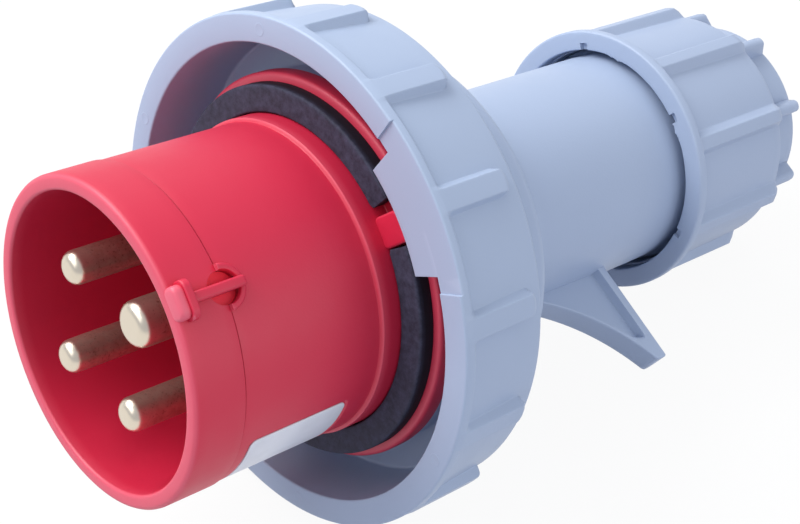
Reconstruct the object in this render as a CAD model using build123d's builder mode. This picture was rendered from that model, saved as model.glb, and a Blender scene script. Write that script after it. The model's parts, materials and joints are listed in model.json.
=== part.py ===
from build123d import *
from math import asin, atan2, cos, degrees, radians, sin
import os

os.makedirs("parts", exist_ok=True)

# A four-pin watertight plug of the 32 A size, with its locking ring and gland nut.
# Stations are distances along the plug's axis from the rim of the red sleeve, in millimetres.
# Clock angles turn round that axis from straight up, towards the side that faces -Y.

# Clearances shared by every fit
running_gap = 0.08
slip_gap = 0.2
face_gap = 0.3

# How far a rib's blank stands over the round limit that trims its crest
crest_spare = 0.5

# Red carrier: sleeve, floor and flange in one moulding
sleeve_radius = 29.0
sleeve_wall = 2.8
rim_round = 1.0
key_angle = 38.6
parting_station = 9.6
parting_step = 0.25
floor_station = 36.5
floor_thickness = 10.0
collar_station = 37.7
collar_step = 0.65
gasket_station = 41.5
gasket_thickness = 3.0
gasket_width = 5.2
flange_margin = 1.6
flange_thickness = 4.0
flange_round = 0.8
journal_rise = 2.0
skirt_step = 2.1
skirt_wall = 2.9
skirt_length = 8.0

# Coding key on the sleeve, the rib behind it and the hole that the rib bridges
key_width = 5.9
key_height = 2.1
key_length = 2.1
key_round = 1.3
key_back_margin = 0.5
key_back_length = 1.1
rib_width = 1.8
rib_height = 2.0
rib_end_station = 13.2
vent_radius = 2.8
lip_width = 1.1
lip_height = 0.9
stop_angle = 39.7
stop_width = 5.6
stop_margin = 0.7
stop_round = 0.7
notch_before = 2.0
notch_after = 0.4

# Contact pins
pin_circle_radius = 13.0
pin_recess = 0.6
phase_radius = 3.0
earth_radius = 4.0
tip_round = 1.4
barrel_margin = 2.8
barrel_front_length = 5.5
barrel_step = 0.8
barrel_end_station = 76.0
wire_margin = 0.6
wire_depth = 15.0
groove_width = 1.0
groove_depth = 0.4
terminal_screw_back = 7.0
terminal_screw_radius = 2.0
terminal_head_radius = 2.9
terminal_head_height = 1.6
slot_width = 0.9
slot_depth = 0.8

# Plate that holds the pins in the carrier, and its two screws
plate_thickness = 3.0
boss_radius = 3.4
boss_margin = 3.0
plate_screw_radius = 1.5
plate_head_radius = 2.8
plate_head_height = 1.9
plate_screw_grip = 8.0

# Locking ring
ring_front = 39.3
ring_length = 21.6
lip_radius = 47.7
lip_length = 1.9
lip_slope = 0.6
panel_drop = 1.1
panel_taper = 0.9
rear_chamfer = 2.4
lip_wall = 5.1
ring_draft = 0.5
ring_floor_station = 54.0
ring_floor_thickness = 3.6
hub_wall = 4.4
back_rim_wall = 2.8
rib_count = 14
grip_width = 4.2
grip_base_width = 6.0
grip_rise = 0.2
grip_end = 56.0
grip_round = 1.2
ring_edge_round = 0.5
lug_half_angle = 14.5
lug_clearance = 0.7
lug_thickness = 4.6
lug_ramp = 1.3
sector_half_angle = 18.2
sector_depth = 0.8

# Rear housing: bell, tube, finger fin and gland thread
bell_wall = 6.3
bell_length = 9.5
cone_length = 12.0
tube_radius = 22.3
tube_wall = 2.9
thread_station = 129.0
thread_rise = 1.1
thread_length = 18.5
housing_end = 148.5
fin_angle = 115.5
fin_thickness = 5.6
fin_start = 82.0
fin_end = 107.6
fin_height = 21.3
fin_tip_end = 109.8
fin_tip_width = 2.7
fin_belly_station = 96.7
fin_belly_height = 7.9
fin_border = 1.1
fin_rear_border = 2.2
fin_sink = 1.2
fin_tip_round = 1.2
seal_section = 0.9

# Cable gland: claw, rubber seal, slip washer and nut
nut_front = 124.3
nut_mouth_gap = 0.5
nut_flange_rise = 2.3
nut_flange_length = 2.0
nut_wall = 2.2
nut_body_taper = 0.5
nut_body_length = 31.3
nut_tail_step = 5.0
nut_tail_length = 11.0
nut_edge_round = 0.8
nut_mouth_length = 3.6
nut_chamber_back = 2.2
nut_seat_back = 3.2
nut_tail_wall = 7.1
cable_flare = 1.5
nut_rib_count = 9
nut_rib_angle = 10.1
nut_rib_width = 5.2
nut_crest_width = 2.6
nut_rib_rise = 1.8
nut_tail_rib_rise = 2.6
nut_tail_rib_margin = 1.8
washer_thickness = 2.4
washer_clearance = 0.4
claw_clearance = 0.5
claw_wall = 1.7
claw_length = 18.0
claw_ring_length = 4.2
claw_fingers = 12
claw_slot = 1.4
claw_taper = 0.7
grommet_bore = 8.0
grommet_length = 15.0
grommet_groove = 0.7

# Blank label in its shallow recess
label_angle = 128.6
label_station = 22.4
label_length = 20.0
label_width = 31.0
label_corner = 2.0
label_thickness = 0.25
label_margin = 0.35

# Radii and stations, each from the one that it fits or is drawn from
sleeve_rear_radius = sleeve_radius - parting_step
collar_radius = sleeve_rear_radius + collar_step
gasket_radius = collar_radius + gasket_width
flange_radius = gasket_radius + flange_margin
stop_radius = gasket_radius + stop_margin
journal_radius = sleeve_radius + journal_rise
skirt_radius = journal_radius - skirt_step
skirt_bore = skirt_radius - skirt_wall
boss_circle_radius = skirt_bore - boss_radius - boss_margin
ring_bore = lip_radius - lip_wall
grip_radius = lip_radius + grip_rise
lug_radius = flange_radius + lug_clearance
tube_bore = tube_radius - tube_wall
thread_radius = tube_radius + thread_rise
nut_mouth_radius = thread_radius + nut_mouth_gap
nut_body_radius = thread_radius + nut_wall
nut_flange_radius = nut_body_radius + nut_flange_rise
nut_crest_radius = nut_body_radius + nut_rib_rise
nut_tail_radius = nut_body_radius - nut_tail_step
nut_tail_crest = nut_tail_radius + nut_tail_rib_rise
cable_hole_radius = nut_tail_radius - nut_tail_wall
claw_radius = tube_bore - claw_clearance
washer_radius = claw_radius - washer_clearance
nut_shoulder = nut_front + nut_body_length
nut_end = nut_shoulder + nut_tail_length
nut_chamber_station = nut_shoulder - nut_chamber_back
nut_seat_station = nut_shoulder + nut_seat_back
nut_tail_rib_end = nut_end - nut_tail_rib_margin

# The plug lies on two ribs of its locking ring and one rib of its gland nut
rib_pitch = 360 / rib_count
nut_rib_pitch = 360 / nut_rib_count
grip_half_angle = degrees(asin(grip_width / 2 / grip_radius))
nut_half_angle = degrees(asin(nut_crest_width / 2 / nut_crest_radius))
nut_rib_offset = (180 - nut_rib_angle) % nut_rib_pitch
nut_rib_offset = min(nut_rib_offset, nut_rib_pitch - nut_rib_offset)
ring_rest_depth = grip_radius * cos(radians(rib_pitch / 2 - grip_half_angle))
ring_rest_station = grip_end - grip_round
nut_rest_depth = nut_crest_radius * cos(radians(nut_rib_offset - nut_half_angle))
nut_rest_station = nut_shoulder - nut_edge_round - 1.5
rest_tilt = atan2(ring_rest_depth - nut_rest_depth, nut_rest_station - ring_rest_station)
mouth_height = ring_rest_station * sin(rest_tilt) + ring_rest_depth * cos(rest_tilt)
reach_back = (nut_end - nut_edge_round) * cos(rest_tilt) + nut_edge_round
reach_back += (nut_tail_radius - nut_edge_round) * sin(rest_tilt)
reach_front = rim_round * cos(rest_tilt) - rim_round - (sleeve_radius - rim_round) * sin(rest_tilt)
axis_direction = Vector(cos(rest_tilt), 0, -sin(rest_tilt))
up_direction = Vector(sin(rest_tilt), 0, cos(rest_tilt))
side_direction = Vector(0, -1, 0)
mouth_centre = Vector(-(reach_front + reach_back) / 2, 0, mouth_height)
mouth_plane = Plane(origin=mouth_centre, x_dir=up_direction, z_dir=axis_direction)
profile_plane = Plane(origin=mouth_centre, x_dir=axis_direction, z_dir=side_direction)
plug_axis = Axis(mouth_centre, axis_direction)

# Sizes that follow from the ones above
sleeve_bore = sleeve_radius - sleeve_wall
floor_rear = floor_station + floor_thickness
flange_station = gasket_station + gasket_thickness
flange_rear = flange_station + flange_thickness
ring_rear = ring_front + ring_length
hub_bore = journal_radius + running_gap
hub_radius = hub_bore + hub_wall
hub_front = flange_rear + slip_gap
bell_front = ring_rear + face_gap
skirt_end = bell_front + skirt_length
bell_bore = skirt_radius + slip_gap
bell_radius = bell_bore + bell_wall
bell_end = bell_front + bell_length
cone_end = bell_end + cone_length
plate_station = floor_rear + barrel_front_length
boss_angles = [key_angle + 45, key_angle + 225]
pin_angles = {
    "earth_pin": key_angle,
    "phase_pin_1": key_angle + 90,
    "phase_pin_2": key_angle + 180,
    "phase_pin_3": key_angle + 270,
}
panel_front = lip_radius - panel_drop
panel_rear = panel_front - panel_taper
washer_station = nut_seat_station - face_gap / 2 - washer_thickness
claw_end = washer_station - face_gap / 2
claw_bore = claw_radius - claw_wall


def radial(angle):
    """Unit vector that points out from the axis at a clock angle."""
    turn = radians(angle)
    return up_direction * cos(turn) + side_direction * sin(turn)


def clock_plane(angle, radius=0):
    """Plane facing outwards at a clock angle; its x runs along the axis from the rim."""
    return Plane(
        origin=mouth_centre + radial(angle) * radius,
        x_dir=axis_direction,
        z_dir=radial(angle),
    )


def around(angle, radius):
    """Place in a cross-section at a clock angle and a distance from the axis."""
    return (radius * cos(radians(angle)), radius * sin(radians(angle)))


def tube_of(inner, outer, start, end):
    """Plain tube round the plug's axis, kept apart as a cutter or a limit."""
    with BuildPart(mode=Mode.PRIVATE) as tube:
        with BuildSketch(mouth_plane.offset(start)):
            Circle(outer)
            if inner > 0:
                Circle(inner, mode=Mode.SUBTRACT)
        extrude(amount=end - start)
    return tube.part


def sector_of(inner, outer, start, end, angle, half_angle):
    """Part of a plain tube within a half angle of a clock angle."""
    with BuildPart(mode=Mode.PRIVATE) as sector:
        with BuildSketch(mouth_plane.offset(start)):
            with BuildLine():
                first, last = angle - half_angle, angle + half_angle
                Line(around(first, inner), around(first, outer))
                ThreePointArc(around(first, outer), around(angle, outer), around(last, outer))
                Line(around(last, outer), around(last, inner))
                ThreePointArc(around(last, inner), around(angle, inner), around(first, inner))
            make_face()
        extrude(amount=end - start)
    return sector.part


# Label recess and label share one outline, seen square on from outside
def label_blank(margin, depth_radius, top_radius):
    """Curved patch with rounded corners between two radii, wider than the label by the margin."""
    with BuildPart(mode=Mode.PRIVATE) as blank:
        with BuildSketch(clock_plane(label_angle)):
            with Locations((label_station, 0)):
                RectangleRounded(label_length + 2 * margin, label_width + 2 * margin, label_corner)
        extrude(amount=top_radius + 1)
        add(tube_of(depth_radius, top_radius, 0, flange_station), mode=Mode.INTERSECT)
    return blank.part


with BuildPart() as pin_carrier:
    with BuildSketch(profile_plane) as carrier_profile:
        with BuildLine():
            Polyline(
                (0, sleeve_bore),
                (0, sleeve_radius),
                (parting_station, sleeve_radius),
                (parting_station, sleeve_rear_radius),
                (collar_station, sleeve_rear_radius),
                (collar_station, collar_radius),
                (flange_station, collar_radius),
                (flange_station, flange_radius),
                (flange_rear, flange_radius),
                (flange_rear, journal_radius),
                (bell_front, journal_radius),
                (bell_front, skirt_radius),
                (skirt_end, skirt_radius),
                (skirt_end, skirt_bore),
                (floor_rear, skirt_bore),
                (floor_rear, 0),
                (floor_station, 0),
                (floor_station, sleeve_bore),
                close=True,
            )
        make_face()
        rim_corners = carrier_profile.vertices().group_by(Axis.X)[0]
        fillet(rim_corners, rim_round)
        flange_corners = carrier_profile.vertices().group_by(Axis.Y)[-1]
        fillet(flange_corners, flange_round)
    revolve(axis=plug_axis)
    # Bosses that the retainer plate is screwed to
    with BuildSketch(mouth_plane.offset(floor_rear)):
        for angle in boss_angles:
            with Locations(around(angle, boss_circle_radius)):
                Circle(boss_radius)
    extrude(amount=barrel_front_length)
    with BuildSketch(mouth_plane.offset(plate_station)):
        for angle in boss_angles:
            with Locations(around(angle, boss_circle_radius)):
                Circle(plate_screw_radius)
    extrude(amount=-plate_screw_grip, mode=Mode.SUBTRACT)
    # Holes for the four pins
    with BuildSketch(mouth_plane.offset(floor_station)):
        for name, angle in pin_angles.items():
            pin_radius = earth_radius if name == "earth_pin" else phase_radius
            with Locations(around(angle, pin_circle_radius)):
                Circle(pin_radius + running_gap)
    extrude(amount=floor_thickness, mode=Mode.SUBTRACT)
    # Raised lip behind the vent hole, then the hole itself
    lip_top = sleeve_rear_radius + lip_height
    with BuildSketch(clock_plane(key_angle, sleeve_bore + sleeve_wall / 2)):
        with Locations((parting_station, 0)):
            Circle(vent_radius + lip_width)
        with Locations((parting_station / 2, 0)):
            Rectangle(parting_station, 4 * vent_radius, mode=Mode.SUBTRACT)
    extrude(amount=lip_top - sleeve_bore - sleeve_wall / 2)
    with BuildSketch(clock_plane(key_angle, sleeve_bore - sleeve_wall)):
        with Locations((parting_station, 0)):
            Circle(vent_radius)
    extrude(amount=2 * sleeve_wall + lip_height + 1, mode=Mode.SUBTRACT)
    # Key block flush with the rim, its backing plate and the rib over the hole
    with BuildSketch(mouth_plane):
        with Locations(Location((0, 0), key_angle)):
            with Locations((sleeve_radius, 0)):
                RectangleRounded(2 * key_height, key_width, key_round)
    extrude(amount=key_length)
    with BuildSketch(mouth_plane.offset(key_length)):
        with Locations(Location((0, 0), key_angle)):
            with Locations((sleeve_radius, 0)):
                RectangleRounded(
                    2 * key_height + 2 * key_back_margin,
                    key_width + 2 * key_back_margin,
                    key_round + key_back_margin,
                )
    extrude(amount=key_back_length)
    with BuildSketch(mouth_plane.offset(key_length)):
        with Locations(Location((0, 0), key_angle)):
            with Locations((sleeve_rear_radius + rib_height / 2 - sleeve_wall / 8, 0)):
                Rectangle(rib_height + sleeve_wall / 4, rib_width)
    extrude(amount=rib_end_station - key_length)
    # Nothing of the key reaches into the cavity
    add(tube_of(0, sleeve_bore, -1, floor_station - 1), mode=Mode.SUBTRACT)
    # Stop block that fills the notch in the gasket
    with BuildSketch(mouth_plane.offset(gasket_station)):
        with Locations(Location((0, 0), stop_angle)):
            with Locations(((collar_radius + stop_radius) / 2 - 0.5, 0)):
                RectangleRounded(stop_radius - collar_radius + 1, stop_width, stop_round)
    extrude(amount=gasket_thickness)
    # Recess for the label
    add(
        label_blank(label_margin, sleeve_rear_radius - label_thickness - 0.05, collar_radius),
        mode=Mode.SUBTRACT,
    )
pin_carrier.part.label = "pin_carrier"


with BuildPart() as rating_label:
    label_top = sleeve_rear_radius - 0.02
    add(label_blank(0, label_top - label_thickness, label_top))
rating_label.part.label = "rating_label"


# Contact pins: a solid brass pin with its terminal barrel turned in one piece
def make_pin(name, angle, pin_radius):
    """Pin with a relief groove at the floor, stepped barrel, wire hole and tapped screw hole."""
    front_radius = pin_radius + barrel_margin
    rear_radius = front_radius - barrel_step
    screw_station = barrel_end_station - terminal_screw_back
    pin_plane = Plane(
        origin=mouth_centre + radial(angle) * pin_circle_radius,
        x_dir=axis_direction,
        z_dir=side_direction,
    )
    with BuildPart() as pin:
        with BuildSketch(pin_plane) as pin_profile:
            with BuildLine():
                Polyline(
                    (pin_recess, 0),
                    (pin_recess, pin_radius),
                    (floor_station - groove_width, pin_radius),
                    (floor_station - groove_width, pin_radius - groove_depth),
                    (floor_station, pin_radius - groove_depth),
                    (floor_station, pin_radius),
                    (floor_rear, pin_radius),
                    (floor_rear, front_radius),
                    (plate_station, front_radius),
                    (plate_station, rear_radius),
                    (barrel_end_station, rear_radius),
                    (barrel_end_station, 0),
                    close=True,
                )
            make_face()
            tip = pin_profile.vertices().group_by(Axis.X)[0].sort_by(Axis.Y)[-1:]
            fillet(tip, tip_round)
        revolve(axis=Axis(pin_plane.origin, axis_direction))
        with BuildSketch(mouth_plane.offset(barrel_end_station)):
            with Locations(around(angle, pin_circle_radius)):
                Circle(pin_radius - wire_margin)
        extrude(amount=-wire_depth, mode=Mode.SUBTRACT)
        with BuildSketch(clock_plane(angle, pin_circle_radius)):
            with Locations((screw_station, 0)):
                Circle(terminal_screw_radius + running_gap)
        extrude(amount=2 * rear_radius, mode=Mode.SUBTRACT)
    pin.part.label = name
    return pin.part


def make_terminal_screw(name, angle, pin_radius):
    """Slotted screw that stands out of the barrel and reaches into the wire hole."""
    rear_radius = pin_radius + barrel_margin - barrel_step
    head_seat = pin_circle_radius + rear_radius
    screw_station = barrel_end_station - terminal_screw_back
    with BuildPart() as screw:
        with BuildSketch(clock_plane(angle, pin_circle_radius + pin_radius - wire_margin - 1)):
            with Locations((screw_station, 0)):
                Circle(terminal_screw_radius)
        extrude(amount=rear_radius - pin_radius + wire_margin + 1 + running_gap)
        with BuildSketch(clock_plane(angle, head_seat)):
            with Locations((screw_station, 0)):
                Circle(terminal_head_radius)
        extrude(amount=terminal_head_height)
        with BuildSketch(clock_plane(angle, head_seat + terminal_head_height)):
            with Locations((screw_station, 0)):
                Rectangle(slot_width, 2 * terminal_head_radius)
        extrude(amount=-slot_depth, mode=Mode.SUBTRACT)
    screw.part.label = name
    return screw.part


for name, angle in pin_angles.items():
    pin_radius = earth_radius if name == "earth_pin" else phase_radius
    screw_name = name.replace("pin", "screw")
    export_step(make_pin(name, angle, pin_radius), f"parts/{name}.step")
    export_step(make_terminal_screw(screw_name, angle, pin_radius), f"parts/{screw_name}.step")


with BuildPart() as retainer_plate:
    with BuildSketch(mouth_plane.offset(plate_station)):
        Circle(skirt_bore - slip_gap)
        for name, angle in pin_angles.items():
            pin_radius = earth_radius if name == "earth_pin" else phase_radius
            with Locations(around(angle, pin_circle_radius)):
                Circle(pin_radius + barrel_margin - barrel_step + running_gap, mode=Mode.SUBTRACT)
        for angle in boss_angles:
            with Locations(around(angle, boss_circle_radius)):
                Circle(plate_screw_radius + slip_gap, mode=Mode.SUBTRACT)
    extrude(amount=plate_thickness)
retainer_plate.part.label = "retainer_plate"


with BuildPart() as retainer_screws:
    head_station = plate_station + plate_thickness
    with BuildSketch(mouth_plane.offset(plate_station - plate_screw_grip + 1)):
        for angle in boss_angles:
            with Locations(around(angle, boss_circle_radius)):
                Circle(plate_screw_radius - running_gap)
    extrude(amount=plate_screw_grip - 1 + plate_thickness)
    with BuildSketch(mouth_plane.offset(head_station)):
        for angle in boss_angles:
            with Locations(around(angle, boss_circle_radius)):
                Circle(plate_head_radius)
    extrude(amount=plate_head_height)
    with BuildSketch(mouth_plane.offset(head_station + plate_head_height)):
        for angle in boss_angles:
            with Locations(around(angle, boss_circle_radius)):
                Rectangle(slot_width, 2 * plate_head_radius)
    extrude(amount=-slot_depth, mode=Mode.SUBTRACT)
retainer_screws.part.label = "retainer_screws"


# Rubber ring in front of the flange, open where the stop block stands
with BuildPart() as flange_gasket:
    with BuildSketch(profile_plane) as gasket_profile:
        gasket_bore = collar_radius + slip_gap
        with Locations((gasket_station + gasket_thickness / 2, (gasket_bore + gasket_radius) / 2)):
            Rectangle(gasket_thickness, gasket_radius - gasket_bore)
        fillet(gasket_profile.vertices().group_by(Axis.X)[0], flange_round / 2)
    revolve(axis=plug_axis)
    with BuildSketch(mouth_plane.offset(gasket_station - 1)):
        with Locations(Location((0, 0), stop_angle)):
            with Locations((gasket_radius, (notch_after - notch_before) / 2)):
                Rectangle(2 * (gasket_radius - sleeve_radius), stop_width + notch_before + notch_after)
    extrude(amount=gasket_thickness + 2, mode=Mode.SUBTRACT)
flange_gasket.part.label = "flange_gasket"


# Locking ring: two inward lugs, a hub that runs on the carrier, grip ribs all round
with BuildPart() as grip_ribs:
    with BuildSketch(mouth_plane.offset(ring_front + lip_length / 2)):
        grip_depth = grip_radius - panel_front + panel_taper
        grip_flank = degrees(atan2(grip_depth, (grip_base_width - grip_width) / 2))
        for index in range(rib_count):
            with Locations(Location((0, 0), key_angle + index * rib_pitch)):
                with Locations(Location((grip_radius + (crest_spare - grip_depth) / 2, 0), -90)):
                    Trapezoid(grip_base_width, grip_depth + crest_spare, grip_flank)
    extrude(amount=grip_end - ring_front - lip_length / 2)
    with BuildSketch(profile_plane) as grip_limit:
        with BuildLine():
            Polyline(
                (ring_front, ring_bore + 1),
                (ring_front, lip_radius),
                (ring_front + lip_length, lip_radius),
                (ring_front + lip_length + grip_round, grip_radius),
                (grip_end, grip_radius),
                (grip_end, ring_bore + 1),
                close=True,
            )
        make_face()
        fillet(grip_limit.vertices().group_by(Axis.X)[-1].sort_by(Axis.Y)[-1:], grip_round)
    revolve(axis=plug_axis, mode=Mode.INTERSECT)

with BuildPart() as locking_ring:
    floor_bore = ring_bore - ring_draft
    floor_back = ring_floor_station + ring_floor_thickness
    with BuildSketch(profile_plane) as ring_profile:
        with BuildLine():
            Polyline(
                (ring_front, ring_bore),
                (ring_front, lip_radius),
                (ring_front + lip_length, lip_radius),
                (ring_front + lip_length + lip_slope, panel_front),
                (ring_rear - rear_chamfer, panel_rear),
                (ring_rear, panel_rear - rear_chamfer),
                (ring_rear, panel_rear - rear_chamfer - back_rim_wall),
                (floor_back, panel_rear - rear_chamfer - back_rim_wall),
                (floor_back, hub_radius),
                (ring_rear, hub_radius),
                (ring_rear, hub_bore),
                (hub_front, hub_bore),
                (hub_front, hub_radius),
                (ring_floor_station, hub_radius),
                (ring_floor_station, floor_bore),
                close=True,
            )
        make_face()
        fillet(ring_profile.vertices().group_by(Axis.X)[0], ring_edge_round)
        fillet(ring_profile.vertices().group_by(Axis.X)[-1].sort_by(Axis.Y)[-2:], ring_edge_round)
    revolve(axis=plug_axis)
    add(grip_ribs.part)
    for angle in (key_angle, key_angle + 180):
        # The front face is sunk over each lug
        add(
            sector_of(
                ring_bore - 2, lip_radius + 1,
                ring_front - 1, ring_front + sector_depth, angle, sector_half_angle,
            ),
            mode=Mode.SUBTRACT,
        )
        add(
            sector_of(
                lug_radius, ring_bore + 1,
                ring_front + sector_depth, ring_front + sector_depth + lug_thickness,
                angle, lug_half_angle,
            )
        )
    # The back of each lug slopes, so that turning the ring draws the two halves together
    for angle in (key_angle, key_angle + 180):
        lug_back = ring_front + sector_depth + lug_thickness
        with BuildPart(mode=Mode.PRIVATE) as ramp:
            with BuildSketch(clock_plane(angle, lug_radius - 1)):
                half_run = (ring_bore + 1) * sin(radians(lug_half_angle))
                with BuildLine():
                    Polyline(
                        (lug_back, -half_run - 1),
                        (lug_back + 1, -half_run - 1),
                        (lug_back + 1, half_run + 1),
                        (lug_back - lug_ramp, half_run + 1),
                        close=True,
                    )
                make_face()
            extrude(amount=ring_bore - ring_draft - lug_radius)
        add(ramp.part, mode=Mode.SUBTRACT)
locking_ring.part.label = "locking_ring"


# Rubber ring that seals the carrier's skirt in the housing's bell
with BuildPart() as housing_seal:
    with BuildSketch(profile_plane):
        with Locations((skirt_end + seal_section + 0.05, (skirt_bore + skirt_radius) / 2)):
            Circle(seal_section)
    revolve(axis=plug_axis)
housing_seal.part.label = "housing_seal"


# Rear housing, moulded in one piece with the finger fin
with BuildPart() as rear_housing:
    stop_station = skirt_end + 2 * seal_section + 0.1
    with BuildSketch(profile_plane) as housing_profile:
        with BuildLine():
            Polyline(
                (bell_front, bell_bore),
                (bell_front, bell_radius),
                (bell_end, bell_radius),
                (cone_end, tube_radius),
                (thread_station, tube_radius),
                (thread_station + 1, thread_radius),
                (thread_station + thread_length - 1, thread_radius),
                (housing_end, thread_radius - 1.3),
                (housing_end, tube_bore + 0.8),
                (housing_end - 4, tube_bore),
                (cone_end, tube_bore),
                (stop_station, skirt_bore),
                (stop_station, bell_bore),
                close=True,
            )
        make_face()
        fillet(housing_profile.vertices().group_by(Axis.X)[0].sort_by(Axis.Y)[-1:], flange_round)
    revolve(axis=plug_axis)
    with BuildSketch(clock_plane(fin_angle + 90)) as fin_face:
        with BuildLine():
            fin_root = tube_radius - tube_wall / 2
            fin_tip_radius = tube_radius + fin_height
            fin_tip_start = (fin_tip_end - fin_tip_width, fin_tip_radius)
            fin_belly = (fin_belly_station, tube_radius + fin_belly_height)
            Polyline(
                (fin_start, fin_root),
                (fin_end, fin_root),
                (fin_tip_end, fin_tip_radius),
                fin_tip_start,
            )
            ThreePointArc(fin_tip_start, fin_belly, (fin_start, fin_root))
        make_face()
        fillet(fin_face.vertices().group_by(Axis.Y)[-1], fin_tip_round)
    extrude(amount=fin_thickness / 2, both=True)
    for side in (-1, 1):
        with BuildSketch(clock_plane(fin_angle + 90).offset(side * fin_thickness / 2)):
            add(fin_face.sketch_local)
            offset(amount=-fin_border, mode=Mode.REPLACE)
            add(fin_face.sketch_local.moved(Location((-fin_rear_border, 0, 0))), mode=Mode.INTERSECT)
        extrude(amount=-side * fin_sink, mode=Mode.SUBTRACT)
    # The fin's root stays out of the bore, and its recesses out of the tube's wall
    with BuildSketch(profile_plane):
        with Locations(((cone_end + thread_station) / 2, (tube_bore + tube_radius) / 2)):
            Rectangle(thread_station - cone_end, tube_wall)
    revolve(axis=plug_axis)
rear_housing.part.label = "rear_housing"


# Claw: a ring of fingers round the rubber, squeezed when the nut is tightened
with BuildPart() as clamp_claw:
    claw_front = claw_end - claw_length
    with BuildSketch(profile_plane):
        with BuildLine():
            Polyline(
                (claw_front, claw_bore),
                (claw_front, claw_radius - claw_taper),
                (claw_end - claw_ring_length, claw_radius),
                (claw_end, claw_radius - face_gap),
                (claw_end, claw_bore),
                close=True,
            )
        make_face()
    revolve(axis=plug_axis)
    with BuildSketch(mouth_plane.offset(claw_front)):
        for index in range(claw_fingers):
            with Locations(Location((0, 0), index * 360 / claw_fingers)):
                with Locations((claw_radius - claw_wall / 2, 0)):
                    Rectangle(2 * claw_wall, claw_slot)
    extrude(amount=claw_length - claw_ring_length, mode=Mode.SUBTRACT)
clamp_claw.part.label = "clamp_claw"


with BuildPart() as cable_grommet:
    grommet_radius = claw_bore - slip_gap
    grommet_end = claw_end - slip_gap
    grommet_front = grommet_end - grommet_length
    ring_step = (grommet_radius - grommet_bore) / 3
    with BuildSketch(profile_plane):
        with BuildLine():
            Polyline(
                (grommet_front, grommet_bore),
                (grommet_front, grommet_radius - 1),
                (grommet_front + 2, grommet_radius),
                (grommet_end, grommet_radius),
                (grommet_end, grommet_bore),
                close=True,
            )
        make_face()
    revolve(axis=plug_axis)
    # Rings that are peeled out for a thicker cable
    with BuildSketch(mouth_plane.offset(grommet_end)):
        for index in (1, 2):
            Circle(grommet_bore + index * ring_step + grommet_groove / 2)
            Circle(grommet_bore + index * ring_step - grommet_groove / 2, mode=Mode.SUBTRACT)
    extrude(amount=-grommet_groove, mode=Mode.SUBTRACT)
cable_grommet.part.label = "cable_grommet"


with BuildPart() as slip_washer:
    with BuildSketch(mouth_plane.offset(washer_station)):
        Circle(washer_radius)
        Circle(cable_hole_radius + slip_gap, mode=Mode.SUBTRACT)
    extrude(amount=washer_thickness)
slip_washer.part.label = "slip_washer"


# Gland nut: nine ribs that run on over its narrower tail
with BuildPart() as nut_ribs:
    with BuildSketch(mouth_plane.offset(nut_front + nut_flange_length / 2)):
        rib_depth = nut_crest_radius - nut_tail_radius + 2
        flank = degrees(atan2(rib_depth, (nut_rib_width - nut_crest_width) / 2))
        for index in range(nut_rib_count):
            with Locations(Location((0, 0), nut_rib_angle + index * nut_rib_pitch)):
                with Locations(Location((nut_crest_radius + (crest_spare - rib_depth) / 2, 0), -90)):
                    Trapezoid(nut_rib_width, rib_depth + crest_spare, flank)
    extrude(amount=nut_tail_rib_end - nut_front - nut_flange_length / 2)
    with BuildSketch(profile_plane):
        with BuildLine():
            Polyline(
                (nut_front, nut_mouth_radius + 1),
                (nut_front, nut_crest_radius),
                (nut_shoulder - 1.5, nut_crest_radius),
                (nut_shoulder, nut_body_radius - nut_body_taper),
                (nut_shoulder + 0.5, nut_tail_crest),
                (nut_tail_rib_end - 1.5, nut_tail_crest),
                (nut_tail_rib_end, nut_tail_radius + 0.8),
                (nut_tail_rib_end, nut_tail_radius - 0.8),
                (nut_shoulder, nut_tail_radius - 0.8),
                (nut_chamber_station - 1, nut_mouth_radius + 1),
                close=True,
            )
        make_face()
    revolve(axis=plug_axis, mode=Mode.INTERSECT)

with BuildPart() as gland_nut:
    nut_thread_bore = thread_radius + running_gap
    nut_chamber = claw_radius + face_gap
    body_rear = nut_body_radius - nut_body_taper
    with BuildSketch(profile_plane) as nut_profile:
        with BuildLine():
            Polyline(
                (nut_front, nut_mouth_radius),
                (nut_front, nut_flange_radius),
                (nut_front + nut_flange_length, nut_flange_radius),
                (nut_front + nut_flange_length + 1, nut_body_radius),
                (nut_shoulder, body_rear),
                (nut_shoulder, nut_tail_radius),
                (nut_end, nut_tail_radius),
                (nut_end, cable_hole_radius + cable_flare),
                (nut_end - cable_flare, cable_hole_radius),
                (nut_seat_station, cable_hole_radius),
                (nut_seat_station, nut_chamber),
                (nut_chamber_station, nut_chamber),
                (nut_chamber_station, nut_thread_bore),
                (nut_front + nut_mouth_length, nut_thread_bore),
                (nut_front + nut_mouth_length, nut_mouth_radius),
                close=True,
            )
        make_face()
        shoulder_corner = nut_profile.vertices().filter_by_position(
            Axis.X, nut_shoulder - 0.01, nut_shoulder + 0.01
        ).sort_by(Axis.Y)[-1:]
        fillet(shoulder_corner, nut_edge_round)
        front_corner = nut_profile.vertices().group_by(Axis.X)[0].sort_by(Axis.Y)[-1:]
        fillet(front_corner, nut_edge_round / 2)
        end_corner = nut_profile.vertices().group_by(Axis.X)[-1].sort_by(Axis.Y)[-1:]
        fillet(end_corner, nut_edge_round)
    revolve(axis=plug_axis)
    add(nut_ribs.part)
gland_nut.part.label = "gland_nut"


for piece in (
    pin_carrier,
    rating_label,
    retainer_plate,
    retainer_screws,
    flange_gasket,
    locking_ring,
    housing_seal,
    rear_housing,
    clamp_claw,
    cable_grommet,
    slip_washer,
    gland_nut,
):
    export_step(piece.part, f"parts/{piece.part.label}.step")
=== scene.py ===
import json
import math

import bmesh
import bpy
import numpy as np
from mathutils import Matrix


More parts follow.
